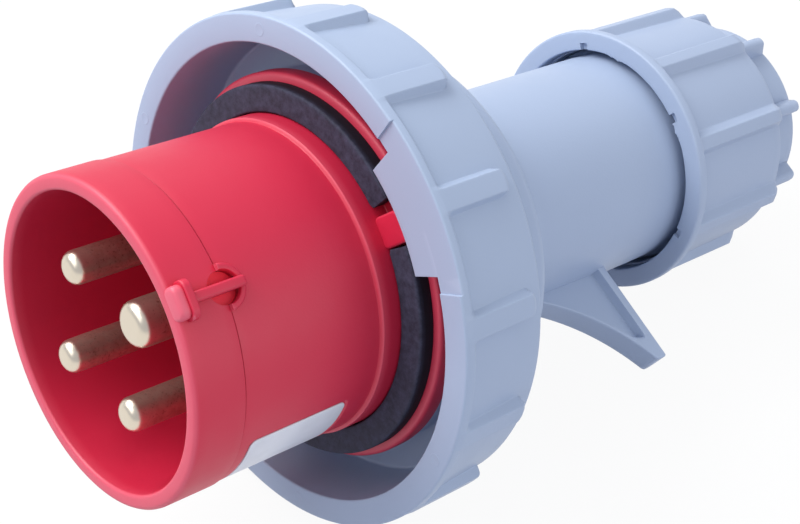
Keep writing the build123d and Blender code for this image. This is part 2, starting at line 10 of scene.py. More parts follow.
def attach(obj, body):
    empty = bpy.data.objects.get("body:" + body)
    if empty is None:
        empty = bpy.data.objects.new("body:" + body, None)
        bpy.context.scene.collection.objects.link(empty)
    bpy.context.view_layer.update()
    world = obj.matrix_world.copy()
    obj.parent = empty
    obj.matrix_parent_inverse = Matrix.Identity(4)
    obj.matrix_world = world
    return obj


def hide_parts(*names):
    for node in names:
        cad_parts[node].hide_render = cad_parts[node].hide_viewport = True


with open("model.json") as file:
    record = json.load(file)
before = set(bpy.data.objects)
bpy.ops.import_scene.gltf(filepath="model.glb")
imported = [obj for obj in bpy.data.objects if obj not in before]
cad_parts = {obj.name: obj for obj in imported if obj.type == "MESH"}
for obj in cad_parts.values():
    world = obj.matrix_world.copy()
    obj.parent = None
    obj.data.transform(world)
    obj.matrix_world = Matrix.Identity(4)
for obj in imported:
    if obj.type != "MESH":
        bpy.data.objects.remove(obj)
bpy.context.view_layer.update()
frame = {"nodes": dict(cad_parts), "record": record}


# The plug's axis and the camera
# The plug lies tipped on its locking ring and gland nut, so every piece is turned round one slanted
# axis. A place on it is a station in mm from the sleeve's rim, a radius in mm, and a clock angle in
# degrees that is 0 at the top and grows towards the side with the finger fin.
MM = 0.001
pin_tip_station, groove_station, floor_station = 2.0, 35.5, 36.5
camera_station, camera_radius, camera_clock = -118.9, 239.15, 41.35
camera_forward, camera_right = (0.6146, -0.5900, -0.5236), (0.7416, 0.2061, 0.6384)
camera_lens, camera_sensor = 71.76, 36.0
camera_shift_x, camera_shift_y = 0.0068, -0.0413
camera_near, camera_far = 0.01, 20.0

# Each pin's mount point lies halfway from its tip to the groove at its root, and the four stand evenly
# round the plug's axis
pin_mounts = [m for m in frame["record"]["mounts"] if m["kind"] == "pin"]
axis = -np.array(pin_mounts[0]["axis"], float)
side = np.array((0.0, -1.0, 0.0))
up = np.cross(side, axis)
mouth = np.mean([m["pos_m"] for m in pin_mounts], axis=0)
mouth = mouth - axis * (pin_tip_station + groove_station) / 2 * MM


def outward(clock):
    """Unit vectors that point away from the axis at clock angles: up cos clock + side sin clock."""
    turn = np.radians(np.asarray(clock, float))[..., None]
    return up * np.cos(turn) + side * np.sin(turn)


def place(station, radius, clock):
    """Points in metres: the mouth's centre + station along the axis + radius outwards at the clock angle."""
    station = np.asarray(station, float)[..., None]
    radius = np.asarray(radius, float)[..., None]
    return mouth + MM * (station * axis + radius * outward(clock))


def stand(thing, across, back, spot):
    """Stands a camera or lamp at a spot in metres, its own x along across and its own z along back."""
    pose = np.eye(4)
    pose[:3] = np.stack((across, np.cross(back, across), back, spot), axis=1)
    thing.matrix_world = Matrix(pose.tolist())


camera = bpy.data.objects.new("camera", bpy.data.cameras.new("camera"))
bpy.context.scene.collection.objects.link(camera)
bpy.context.scene.camera = camera
camera.data.lens, camera.data.sensor_width = camera_lens, camera_sensor
camera.data.shift_x, camera.data.shift_y = camera_shift_x, camera_shift_y
camera.data.clip_start, camera.data.clip_end = camera_near, camera_far
plug_frame = np.stack((axis, up, side))
view_forward = np.array(camera_forward) @ plug_frame
view_forward /= np.linalg.norm(view_forward)
view_right = np.array(camera_right) @ plug_frame
view_right -= view_forward * (view_right @ view_forward)
view_right /= np.linalg.norm(view_right)
stand(camera, view_right, -view_forward, place(camera_station, camera_radius, camera_clock))


# Studio: floor, room light and soft boxes
# A pale sweep of paper under the plug, a strong soft box overhead and three weaker ones round it, and an
# even room light. The camera sees the paper as white, and the plug keeps its soft shadow on it.
floor_size, paper_roughness = 6.0, 0.9
floor_white, floor_glow, floor_bounce = 0.92, 0.92, (0.36, 0.395, 0.49)
room_strength, room_colour, room_seen = 0.66, (0.94, 0.98, 1.07), (1, 1, 1)
soft_box_width = 0.7
soft_boxes = (
    ("soft_box_over", (-0.46, 0.66, 0.84), 9.5),
    ("soft_box_behind", (0.10, 0.80, 0.80), 3.5),
    ("soft_box_front", (-0.80, 0.10, 0.80), 2.0),
    ("soft_box_near", (0.30, -0.95, 0.45), 2.5),
)


def feed(tree, node, sockets):
    """Gives each named socket of a node its plain value, or the output that drives it."""
    for key, value in sockets.items():
        if isinstance(value, bpy.types.NodeSocket):
            tree.links.new(value, node.inputs[key])
        else:
            node.inputs[key].default_value = value


def add(tree, kind, sockets, output=0, **settings):
    """Adds a shader node with its settings and sockets, and gives back one of its outputs."""
    node = tree.nodes.new("ShaderNode" + kind)
    for key, value in settings.items():
        setattr(node, key, value)
    feed(tree, node, sockets)
    return node.outputs[output]


def two_tones(tree, share, first, second):
    """Mix of two colours by a share. Each is plain red, green and blue, or the output that gives it."""
    first, second = (
        tone if isinstance(tone, bpy.types.NodeSocket) else (*tone, 1) for tone in (first, second)
    )
    return add(tree, "Mix", {"Factor": share, "A": first, "B": second}, "Result", data_type="RGBA")


def spread(tree, value, low, high, start=0.0, end=1.0):
    """Runs straight from low to high while the value runs from start to end, and stays level outside."""
    sockets = {"Value": value, "From Min": start, "From Max": end, "To Min": low, "To Max": high}
    return add(tree, "MapRange", sockets)


def either_ray(tree, first, second):
    """1 for the two named kinds of ray, and 0 for the rest."""
    rays = tree.nodes.new("ShaderNodeLightPath").outputs
    return add(tree, "Math", {0: rays[first], 1: rays[second]}, operation="MAXIMUM")


floor_half = floor_size / 2
floor_corners = [(x * floor_half, y * floor_half, 0) for x, y in ((-1, -1), (1, -1), (1, 1), (-1, 1))]
floor_mesh = bpy.data.meshes.new("floor")
floor_mesh.from_pydata(floor_corners, [], [(0, 1, 2, 3)])
floor = bpy.data.objects.new("floor", floor_mesh)
bpy.context.scene.collection.objects.link(floor)

paper = bpy.data.materials.new("pale_paper")
paper.use_nodes = True
tree = paper.node_tree
surface = tree.nodes["Principled BSDF"]
seen = either_ray(tree, "Is Camera Ray", "Is Glossy Ray")
feed(tree, surface, {
    "Base Color": two_tones(tree, seen, floor_bounce, [floor_white] * 3),
    "Roughness": paper_roughness,
})
glow_share = add(tree, "Math", {0: seen, 1: floor_glow}, operation="MULTIPLY")
glow = add(tree, "Emission", {"Color": (1, 1, 1, 1), "Strength": 1.0})
glowing_paper = add(tree, "MixShader", {"Fac": glow_share, 1: surface.outputs[0], 2: glow})
feed(tree, tree.nodes["Material Output"], {"Surface": glowing_paper})
floor_mesh.materials.append(paper)

world = bpy.data.worlds.new("studio")
bpy.context.scene.world = world
world.use_nodes = True
tree = world.node_tree
seen = either_ray(tree, "Is Camera Ray", "Is Transmission Ray")
feed(tree, tree.nodes["Background"], {
    "Color": two_tones(tree, seen, room_colour, room_seen),
    "Strength": spread(tree, seen, room_strength, 1.0),
})

for name, spot, power in soft_boxes:
    lamp = bpy.data.lights.new(name, "AREA")
    lamp.shape = "SQUARE"
    lamp.size = soft_box_width
    lamp.energy = power
    soft_box = bpy.data.objects.new(name, lamp)
    bpy.context.scene.collection.objects.link(soft_box)
    back = np.array(spot) / np.linalg.norm(spot)
    across = np.cross((0.0, 0.0, 1.0), back)
    stand(soft_box, across / np.linalg.norm(across), back, spot)

bpy.context.scene.view_settings.view_transform = "Standard"


# Pin carrier
# The red moulding that everything is built on: the sleeve that shrouds the pins, the floor that holds
# them, a collar, the flange behind the gasket and the journal that the locking ring turns on. It is
# injection moulded in glass-filled nylon in two mould halves that part in a faint line round the sleeve.
sleeve_radius, sleeve_bore, rim_inner_round, rim_outer_round = 29.0, 26.2, 0.6, 0.9
parting_station, parting_step, parting_width, parting_depth = 9.6, 0.25, 0.22, 0.6
body_radius = sleeve_radius - parting_step
collar_station, collar_slope, collar_radius = 37.7, 0.35, 29.4
flange_station, flange_rear, flange_radius = 44.5, 48.5, 36.2
journal_radius, journal_end, skirt_radius, skirt_bore, skirt_end = 31.0, 61.2, 28.9, 26.0, 69.2
floor_rear = 46.5
key_clock = 38.6
label_clock, label_middle, label_length, label_width, label_corner = 128.6, 22.4, 20.0, 30.4, 1.2
recess_margin, recess_depth, recess_slope = 0.35, 0.3, 0.3
pocket_radius, pocket_floor, cutter_margin = 2.8, 27.8, 3.0
# Strength and extent of the painted highlights on the rim, the collar's edge and the flange's edge
rim_highlight, rim_highlight_end, rim_highlight_fade = 0.4, 0.75, 0.5
collar_highlight, collar_highlight_reach, collar_highlight_depth = 0.3, 0.45, 0.35
flange_highlight, flange_highlight_reach, flange_highlight_depth = 0.25, 1.2, 0.9
sharp_turn = math.radians(38)


def rounded(corners, steps=5):
    """Profile through (station, radius, rounding) corners: at each one an arc touches both straight sides.
    The arc starts rounding times tan(half the turn) before the corner and sweeps through the turn."""
    corners = np.array(corners, float)
    points = corners[:, :2]
    line = []
    sides = zip(np.roll(points, 1, 0), points, np.roll(points, -1, 0), corners[:, 2])
    for before, here, after, size in sides:
        first, second = here - before, after - here
        first = first / (np.linalg.norm(first) + 1e-12)
        second = second / (np.linalg.norm(second) + 1e-12)
        turn = math.atan2(first[0] * second[1] - first[1] * second[0], first @ second)
        if size <= 0 or abs(turn) < 1e-3:
            line.append(here[None])
            continue
        inward = np.array((-first[1], first[0])) * np.sign(turn)
        start = here - first * size * math.tan(abs(turn) / 2)
        sweep = np.linspace(0, turn, steps)
        radius = -inward * size
        arc = np.stack((radius[0] * np.cos(sweep) - radius[1] * np.sin(sweep),
                        radius[0] * np.sin(sweep) + radius[1] * np.cos(sweep)), axis=1)
        line.append(start + inward * size + arc)
    return np.concatenate(line)


def dense(line, step, closed=True):
    """The same profile with every stretch longer than the step cut into equal parts."""
    ends = np.roll(line, -1, 0) if closed else line[1:]
    starts = line if closed else line[:-1]
    parts = []
    for a, b in zip(starts, ends):
        count = max(1, math.ceil(np.linalg.norm(b - a) / step))
        parts.append(a + (b - a) * (np.arange(count) / count)[:, None])
    if not closed:
        parts.append(line[-1:])
    return np.concatenate(parts)


def with_rows(line, chosen, stations, radii, way=1):
    """Profile whose chosen stretch gets more points, by station and radius, sorted along the stretch: way
    is 1 where its stations rise and -1 where they fall."""
    more = np.stack((stations, np.broadcast_to(radii, np.shape(stations))), axis=1)
    stretch = np.concatenate((line[chosen], more))
    first, last = np.flatnonzero(chosen)[[0, -1]]
    return np.concatenate((line[:first], stretch[np.argsort(way * stretch[:, 0])], line[last + 1:]))


def turned_grid(line, clocks):
    """Stations, radii and clock angles of a profile carried round the axis, as three grids."""
    station, clock = np.meshgrid(line[:, 0], clocks, indexing="ij")
    return station, np.repeat(line[:, 1:], len(clocks), axis=1), clock


def spun(centre, pointing, first, second, line, turn):
    """Profile of (height, reach) points carried round an axis of its own: centre + height along pointing
    + reach times (first cos turn + second sin turn)."""
    height, reach = (np.asarray(line, float)[:, i, None, None] for i in (0, 1))
    circle = np.cos(turn)[:, None] * first + np.sin(turn)[:, None] * second
    return centre + MM * (height * pointing + reach * circle)


def skin(name, points, close_rows=True, close_columns=True, caps=False):
    """Mesh over a grid of points (rows, columns, xyz). Each cell is a quad, doubles at poles are merged,
    and the faces are turned outwards by the sign of the volume that they enclose."""
    rows, columns = points.shape[:2]
    number = np.arange(rows * columns).reshape(rows, columns)
    if close_rows:
        number = np.vstack((number, number[:1]))
    if close_columns:
        number = np.hstack((number, number[:, :1]))
    quads = np.stack((number[:-1, :-1], number[:-1, 1:], number[1:, 1:], number[1:, :-1]), axis=-1)
    quads = quads.reshape(-1, 4)
    flat = points.reshape(-1, 3)
    a, b, c, d = (flat[quads[:, i]] - flat.mean(0) for i in range(4))
    volume = np.einsum("ij,ij->", a, np.cross(b, c)) + np.einsum("ij,ij->", a, np.cross(c, d))
    end_faces = [number[0, :columns].tolist(), number[-1, :columns][::-1].tolist()] if caps else []
    if volume < 0:
        quads = quads[:, ::-1]
    else:
        end_faces = [face[::-1] for face in end_faces]
    mesh = bpy.data.meshes.new(name)
    mesh.from_pydata(flat.tolist(), [], quads.tolist() + end_faces)
    work = bmesh.new()
    work.from_mesh(mesh)
    bmesh.ops.remove_doubles(work, verts=work.verts, dist=1e-6)
    bmesh.ops.dissolve_degenerate(work, edges=work.edges, dist=1e-7)
    work.to_mesh(mesh)
    work.free()
    mesh.polygons.foreach_set("use_smooth", np.ones(len(mesh.polygons), bool))
    mesh.set_sharp_from_angle(angle=sharp_turn)
    return mesh


def show(name, points, material, **closing):
    """Skins a grid of points and puts the piece into the scene with its material."""
    piece = bpy.data.objects.new(name, skin(name, points, **closing))
    bpy.context.scene.collection.objects.link(piece)
    piece.data.materials.append(material)
    return piece


def stations_and_radii(mesh):
    """Station and radius in mm of every vertex."""
    spots = np.empty(3 * len(mesh.vertices))
    mesh.vertices.foreach_get("co", spots)
    spots = (spots.reshape(-1, 3) - mouth) / MM
    return spots @ axis, np.hypot(spots @ up, spots @ side)


def mark(mesh, name, values):
    """Number on every vertex for a material to read."""
    mesh.attributes.new(name, "FLOAT", "POINT").data.foreach_set("value", values.astype(np.float32))


def finish(name):
    """Bare material: it, its node tree, its shader, and the object's own coordinates for its patterns."""
    material = bpy.data.materials.new(name)
    material.use_nodes = True
    tree = material.node_tree
    return material, tree, tree.nodes["Principled BSDF"], add(tree, "TexCoord", {}, "Object")


def noise(tree, where, fineness, detail=2.0, roughness=0.5):
    """Noise in the object's own coordinates, finer as the fineness grows."""
    return add(tree, "TexNoise", {
        "Vector": where, "Scale": fineness, "Detail": detail, "Roughness": roughness,
    })


def bumps(tree, height, strength, depth):
    """Normals of a surface that a height roughens to a depth in metres."""
    return add(tree, "Bump", {"Height": height, "Strength": strength, "Distance": depth})


def moulded_plastic(name, colour, shade, edge, roughness, shine=0.5, edge_paling=0.45):
    """Satin injection-moulded plastic: two close tones in slow clouds, paler at sharply turned edges by the
    surface's pointiness and where a mark paints a highlight, roughness in a mid-size noise, and a fine
    spark-eroded grain."""
    material, tree, surface, where = finish(name)
    turned = add(tree, "NewGeometry", {}, "Pointiness")
    # Paler by the edges' pointiness, and by the mark that paints highlights
    rubbed = add(tree, "Math", {
        0: spread(tree, turned, 0.0, edge_paling, start=0.53, end=0.62),
        1: add(tree, "Attribute", {}, "Fac", attribute_name="rubbed"),
    }, operation="MAXIMUM")
    clouds = two_tones(tree, noise(tree, where, fineness=45.0, detail=3.0), colour, shade)
    gloss = noise(tree, where, fineness=240.0, detail=4.0)
    feed(tree, surface, {
        "Base Color": two_tones(tree, rubbed, clouds, edge),
        "Specular IOR Level": shine,
        "Roughness": spread(tree, gloss, roughness - 0.05, roughness + 0.08),
        "Normal": bumps(tree, noise(tree, where, fineness=2600.0), strength=0.2, depth=0.00008),
    })
    return material


carrier_red, small_red = (
    moulded_plastic(
        name, colour=(0.64, 0.014, 0.054), shade=(0.58, 0.011, 0.046), edge=(0.86, 0.17, 0.24),
        roughness=0.46, shine=0.6, edge_paling=edge_paling
    )
    for name, edge_paling in (("carrier_red_nylon", 0.0), ("key_red_nylon", 0.45))
)

carrier_line = rounded([
    (0, sleeve_bore, rim_inner_round), (0, sleeve_radius, rim_outer_round),
    (parting_station, sleeve_radius, 0.08), (parting_station, sleeve_radius - parting_depth, 0),
    (parting_station + parting_width, sleeve_radius - parting_depth, 0),
    (parting_station + parting_width, body_radius, 0.05),
    (collar_station, body_radius, 0.3), (collar_station + collar_slope, collar_radius, 0.25),
    (flange_station, collar_radius, 0.3), (flange_station, flange_radius, 0.8),
    (flange_rear, flange_radius, 0.8), (flange_rear, journal_radius, 0.4),
    (journal_end, journal_radius, 0.3), (journal_end, skirt_radius, 0.2),
    (skirt_end, skirt_radius, 0.3), (skirt_end, skirt_bore, 0.3),
    (floor_rear, skirt_bore, 0.6), (floor_rear, 0, 0), (floor_station, 0, 0),
    (floor_station, sleeve_bore, 1.0),
])

# The profile starts and ends on the axis, and has more rows and columns where the label's recess ends
line_start = int(np.argmin(np.hypot(carrier_line[:, 0] - floor_station, carrier_line[:, 1])))
carrier_line = dense(np.roll(carrier_line, -line_start, 0), 2.0, closed=False)
recess_ends = label_length / 2 + np.arange(-2.4, 0.9, 0.22)
recess_ends = np.concatenate((label_middle - recess_ends, label_middle + recess_ends))
on_body = np.abs(carrier_line[:, 1] - body_radius) < 1e-6
carrier_line = with_rows(carrier_line, on_body, recess_ends, body_radius)
label_half = math.degrees(math.asin(label_width / 2 / sleeve_radius))
carrier_clocks = np.unique(np.concatenate((
    np.arange(0, 360, 1.5), label_clock - label_half + np.arange(-2.0, 5.0, 0.4),
    label_clock + label_half + np.arange(-5.0, 2.0, 0.4),
)).round(3) % 360)
station, radius, clock = turned_grid(carrier_line, carrier_clocks)
from_label = np.radians(clock - label_clock)
over_length = np.abs(station - label_middle) - (label_length / 2 + recess_margin - label_corner)
over_width = np.abs(body_radius * np.sin(from_label)) - (label_width / 2 + recess_margin - label_corner)
outside = np.hypot(np.maximum(over_length, 0), np.maximum(over_width, 0)) - label_corner
sunk = np.clip(0.5 - outside / recess_slope, 0, 1) * (np.cos(from_label) > 0)
outer_skin = np.abs(radius - body_radius) < 0.05
radius -= recess_depth * sunk * outer_skin
carrier = show("pin_carrier_moulding", place(station, radius, clock), carrier_red, close_rows=False)

# A short cylinder cuts the round pocket under the key's rib, and goes again
pocket_centre = place(parting_station, 0, key_clock)
pocket_ways = outward(key_clock), axis, outward(key_clock + 90)
pocket_wall = ((pocket_floor, pocket_radius), (sleeve_radius + cutter_margin, pocket_radius))
pocket_turn = np.linspace(0, 2 * np.pi, 64, endpoint=False)
cutter_points = spun(pocket_centre, *pocket_ways, pocket_wall, pocket_turn)
cutter = show("pocket_cutter", cutter_points, carrier_red, close_rows=False, caps=True)
drill = carrier.modifiers.new("pocket", "BOOLEAN")
drill.operation = "DIFFERENCE"
drill.solver = "EXACT"
drill.object = cutter
drilled = bpy.data.meshes.new_from_object(carrier.evaluated_get(bpy.context.evaluated_depsgraph_get()))
carrier.modifiers.remove(drill)
bpy.data.objects.remove(cutter)
carrier.data = drilled
drilled.set_sharp_from_angle(angle=sharp_turn)

# The rim and the front edges of the collar and the flange are painted pale: painted highlights where they
# catch the light
station, radius = stations_and_radii(drilled)
on_rim, on_collar = radius > sleeve_bore - 0.05, radius > collar_radius - collar_highlight_depth
on_flange = radius > flange_radius - flange_highlight_depth
collar_edge = np.abs(station - collar_station - collar_slope)
mark(drilled, "rubbed", np.max((
    rim_highlight * np.clip((rim_highlight_end - station) / rim_highlight_fade, 0, 1) * on_rim,
    collar_highlight * np.clip(1 - collar_edge / collar_highlight_reach, 0, 1) * on_collar,
    flange_highlight * np.clip(1 - (station - flange_station) / flange_highlight_reach, 0, 1) * on_flange,
), axis=0))
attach(carrier, "plug_body")
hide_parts("pin_carrier")


# Coding key, its rib, the pocket's lip and floor, and the gasket stop
# Small features moulded on the carrier. The key stands flush with the rim over the earth pin and only
# lets the plug into a matching socket; a thin rib runs back from it over a round blind pocket.
# Strength, end and fade of the painted highlight on the key's front
key_highlight, key_highlight_end, key_highlight_fade = 0.6, 3.0, 2
stop_clock, stop_width = 39.7, 5.6
lip_outer, lip_low, lip_high = 3.9, 28.0, 29.65
disc_gap, disc_rise, disc_depth = 0.02, 0.05, 0.3

# Each bar's clock angle, low and high radius, start and end station, width, and the rounding of its long
# corners and of its ends
bars = (
    ("coding_key", key_clock, 27.6, 31.1, 0.0, 2.1, 5.6, 1.4, 0.7),
    ("key_back_plate", key_clock, 27.6, 31.5, 1.8, 3.2, 6.6, 1.6, 0.3),
    ("key_rib", key_clock, 28.0, 30.75, 2.6, 13.2, 1.8, 0.5, 0.6),
    ("gasket_stop", stop_clock, 29.0, 35.3, 41.4, flange_station + 0.8, stop_width, 0.9, 0.5),
)


def round_rectangle(half_x, half_y, corner, steps):
    """Outline of a rectangle with round corners: quarter circles of the corner radius round four points
    that lie one corner radius inside its corners. Columns of sizes give one outline to each row."""
    quarter = np.linspace(0, np.pi / 2, steps)
    turn = np.concatenate([quarter + i * np.pi / 2 for i in range(4)])
    x = np.repeat((1, -1, -1, 1), steps) * (half_x - corner) + corner * np.cos(turn)
    y = np.repeat((1, 1, -1, -1), steps) * (half_y - corner) + corner * np.sin(turn)
    return x, y


def rounded_bar(clock, low, high, start, end, width, corner, nose):
    """Bar along the axis between two radii: a rounded rectangle, tangent by outward, that draws in at both
    ends along a quarter circle of the nose radius and closes on its middle line."""
    end_turn = np.linspace(0, np.pi / 2, 5)
    draw, along = nose * (1 - np.sin(end_turn)), nose * (1 - np.cos(end_turn))
    middle = np.linspace(start + nose, end - nose, 4)[1:-1]
    stations = np.concatenate(((start, ), start + along, middle, end - along[::-1], (end, )))
    draws = np.concatenate(((nose, ), draw, (0, 0), draw[::-1], (nose, )))[:, None]
    x, y = round_rectangle(width / 2 - draws, (high - low) / 2 - draws, np.maximum(corner - draws, 0.05), 7)
    x[[0, -1]], y[[0, -1]] = 0, 0
    points = place(stations[:, None] + 0 * x, (low + high) / 2 + y, clock)
    return points + MM * x[..., None] * outward(clock + 90)


# The pocket's floor is the carrier's nylon painted a brighter red than the carrier's own: painted light in
# the pocket
pocket_floor_lit_red = moulded_plastic(
    "pocket_red_nylon", colour=(0.98, 0.016, 0.060), shade=(0.92, 0.012, 0.050), edge=(0.98, 0.05, 0.09),
    roughness=0.50
)
lip_line = rounded([
    (lip_low, pocket_radius, 0), (lip_high, pocket_radius, 0.25),
    (lip_high, lip_outer, 0.45), (lip_low, lip_outer, 0),
])
lip_turn = np.radians(np.linspace(-90, 90, 33))
lip_points = spun(pocket_centre, *pocket_ways, lip_line, lip_turn).transpose(1, 0, 2)
disc_line = np.stack((
    pocket_floor + np.array((disc_rise, disc_rise, disc_rise, -disc_depth, -disc_depth)),
    (pocket_radius - disc_gap) * np.array((0, 0.5, 1, 1, 0)),
), axis=1)
disc_turn = np.radians(np.linspace(0, 360, 48, endpoint=False))
disc_points = spun(pocket_centre, *pocket_ways, disc_line, disc_turn)
small_pieces = [(name, rounded_bar(*sizes), small_red, False) for name, *sizes in bars]
small_pieces.append(("vent_lip", lip_points, small_red, True))
small_pieces.append(("pocket_floor", disc_points, pocket_floor_lit_red, False))
for name, points, red, caps in small_pieces:
    piece = show(name, points, red, close_rows=False, caps=caps)
    # The key's front is painted pale: a painted highlight like the rim's
    if name == "coding_key":
        station = stations_and_radii(piece.data)[0]
        mark(piece.data, "rubbed", key_highlight * np.clip((key_highlight_end - station) / key_highlight_fade, 0, 1))
    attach(piece, "plug_body")


# Contact pins
# Four solid brass pins, turned on a lathe with a polished rounded end, and a terminal barrel behind the
# floor. The earth pin is thicker. Handling has left the sides warmer and duller than the bright tips.
pin_recess, tip_round, groove_depth = 0.6, 1.9, 0.4
barrel_margin, barrel_step, barrel_front, barrel_rear = 2.8, 0.8, 52.0, 76.0
wire_margin, wire_depth = 0.6, 15.0
tarnish_start, tarnish_fade, tarnish_bend = 1.6, 2.8, 0.8


def turned_brass(name, clean, dull, speck):
    """Turned brass, clean where the mark "handled" is 0 and tarnished where it is 1: a brown bloom with
    dark specks, rougher and less metallic than the clean end, over fine lathe lines."""
    material, tree, surface, where = finish(name)
    handled = add(tree, "Attribute", {}, "Fac", attribute_name="handled")
    bloom = noise(tree, where, fineness=520.0, detail=6.0, roughness=0.65)
    bloom = spread(tree, bloom, 0.55, 1.0, start=0.30, end=0.62)
    share = add(tree, "Math", {0: bloom, 1: handled}, operation="MULTIPLY")
    grit = spread(tree, noise(tree, where, fineness=2200.0, detail=3.0), 0.0, 1.0, start=0.57, end=0.85)
    dots = add(tree, "Math", {0: grit, 1: handled}, operation="MULTIPLY")
    along = add(tree, "VectorMath", {0: where, 1: tuple(axis)}, "Value", operation="DOT_PRODUCT")
    lathe = add(tree, "TexNoise", {"W": along, "Scale": 5200.0}, noise_dimensions="1D")
    feed(tree, surface, {
        "Base Color": two_tones(tree, dots, two_tones(tree, share, clean, dull), speck),
        "Metallic": spread(tree, share, 1.0, 0.75),
        "Roughness": spread(tree, share, 0.30, 0.36),
        "Normal": bumps(tree, lathe, strength=0.25, depth=0.00002),
    })
    return material


pin_brass = turned_brass("pin_brass", (0.74, 0.66, 0.54), (0.47, 0.26, 0.21), (0.15, 0.07, 0.055))
pin_turn = np.radians(np.arange(0, 360, 6.0))
for mount in pin_mounts:
    node = mount["name"].removesuffix("_end")
    pin_radius = mount["dims"]["r_mm"]
    front, rear = pin_radius + barrel_margin, pin_radius + barrel_margin - barrel_step
    wire_floor, wire_radius = barrel_rear - wire_depth, pin_radius - wire_margin
    pin_line = dense(rounded([
        (pin_recess, 0, 0), (pin_recess, pin_radius, tip_round), (groove_station, pin_radius, 0.1),
        (groove_station, pin_radius - groove_depth, 0.1), (floor_station, pin_radius - groove_depth, 0),
        (floor_station, pin_radius, 0), (floor_rear, pin_radius, 0.1),
        (floor_rear, front, 0.3), (barrel_front, front, 0.2), (barrel_front, rear, 0.1),
        (barrel_rear, rear, 0.4), (barrel_rear, wire_radius, 0.3), (wire_floor, wire_radius, 0.2),
        (wire_floor, 0, 0),
    ], steps=8), 2.5, closed=False)
    off_axis = np.array(mount["pos_m"]) - mouth
    pin_centre = mouth + off_axis - axis * (off_axis @ axis)
    pin_points = spun(pin_centre, axis, up, side, pin_line, pin_turn)
    pin = show(node + "_turned", pin_points, pin_brass, close_rows=False)
    station = stations_and_radii(pin.data)[0]
    mark(pin.data, "handled", np.clip((station - tarnish_start) / tarnish_fade, 0, 1) ** tarnish_bend)
    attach(pin, "plug_body")
    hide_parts(node)


# Flange gasket
# A soft black rubber ring laid in front of the flange, cut open where the stop block stands. It seals
# against the socket's rim; its face is dull and dusty, and back from the face it is painted near black as
# painted shade.
gasket_front, gasket_rear, gasket_bore, gasket_radius = 41.5, 44.5, 29.6, 34.6
notch_before, notch_after, notch_draw = 2.0, 0.4, 0.9
# Painted shade: how far it takes the dust away, where it starts back from the front face, and how it fades
# in
painted_shade_most, painted_shade_start, painted_shade_fade = 0.9, 0.3, 0.5


def dusty_rubber_with_painted_shade(name, colour, dust, dust_amount):
    """Moulded rubber: near black, dull and slightly pitted, with a mottled dust, and painted shade that
    takes the dust away, leaving near black, where its mark is high."""
    material, tree, surface, where = finish(name)
    mottle = noise(tree, where, fineness=620.0, detail=6.0, roughness=0.75)
    caught = spread(tree, mottle, 0.3 * dust_amount, dust_amount, start=0.35, end=0.75)
    wiped = add(tree, "Attribute", {}, "Fac", attribute_name="wiped")
    left_over = add(tree, "Math", {0: 1.0, 1: wiped}, operation="SUBTRACT")
    share = add(tree, "Math", {0: caught, 1: left_over}, operation="MULTIPLY")
    feed(tree, surface, {
        "Base Color": two_tones(tree, share, colour, dust),
        "Specular IOR Level": 0.22,
        "Roughness": spread(tree, mottle, 0.55, 0.8),
        "Normal": bumps(tree, noise(tree, where, fineness=1500.0), strength=0.3, depth=0.0001),
    })
    return material


gasket_rubber = dusty_rubber_with_painted_shade("gasket_rubber", (0.006, 0.006, 0.010), (0.105, 0.104, 0.175), 0.62)
gasket_line = dense(rounded([
    (gasket_front, gasket_bore, 0.4), (gasket_front, gasket_radius, 0.5),
    (gasket_rear, gasket_radius, 0.2), (gasket_rear, gasket_bore, 0.2),
]), 1.0)

# The ends at the notch draw in a little and close on the middle of the section
gasket_middle = (gasket_bore + gasket_radius) / 2
notch_low, notch_high = (
    math.degrees((stop_width / 2 + gap) / gasket_middle) for gap in (notch_before, notch_after)
)
gasket_clocks = np.linspace(stop_clock + notch_high, stop_clock + 360 - notch_low, 240)
gasket_clocks = np.concatenate((gasket_clocks[:1], gasket_clocks, gasket_clocks[-1:]))
gasket_draw = np.concatenate(((0, notch_draw), np.ones(238), (notch_draw, 0)))
gasket_heart = np.array(((gasket_front + gasket_rear) / 2, gasket_middle))
gasket_drawn = gasket_heart + (gasket_line[:, None] - gasket_heart) * gasket_draw[None, :, None]
gasket_station, gasket_out = gasket_drawn[..., 0], gasket_drawn[..., 1]
gasket_points = place(gasket_station, gasket_out, gasket_clocks[None] + 0 * gasket_station)
gasket = show("flange_gasket_rubber", gasket_points, gasket_rubber, close_columns=False)
station = stations_and_radii(gasket.data)[0]
# The dust fades out back from the front face: painted shade on the outer side, bore and back
mark(gasket.data, "wiped", painted_shade_most * np.clip((station - gasket_front - painted_shade_start) / painted_shade_fade, 0, 1))
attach(gasket, "plug_body")
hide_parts("flange_gasket")


# Rating label
# A thin white film sticker in a shallow recess of the sleeve, left blank. Its corners are rounded and its
# edge is slightly turned down.
label_top, label_film, label_inner = 28.73, 0.24, 0.985
front_rows, back_rows = 16, 12


def film(name, colour, soil):
    """Sticker film: white with faint soiling, half gloss, and a very slight ripple from the glue."""
    material, tree, surface, where = finish(name)
    soiling = noise(tree, where, fineness=160.0, detail=5.0)
    feed(tree, surface, {
        "Base Color": two_tones(tree, spread(tree, soiling, 0.0, 0.5, start=0.45, end=0.8), colour, soil),
        "Roughness": spread(tree, soiling, 0.28, 0.42),
        "Normal": bumps(tree, soiling, strength=0.05, depth=0.0002),
    })
    return material


label_white = film("label_white_film", (0.80, 0.80, 0.84), (0.62, 0.62, 0.66))
label_outline = round_rectangle(label_length / 2, label_width / 2, label_corner, steps=9)
label_edge = dense(np.stack(label_outline, axis=1), 0.8)
label_back = label_top - label_film

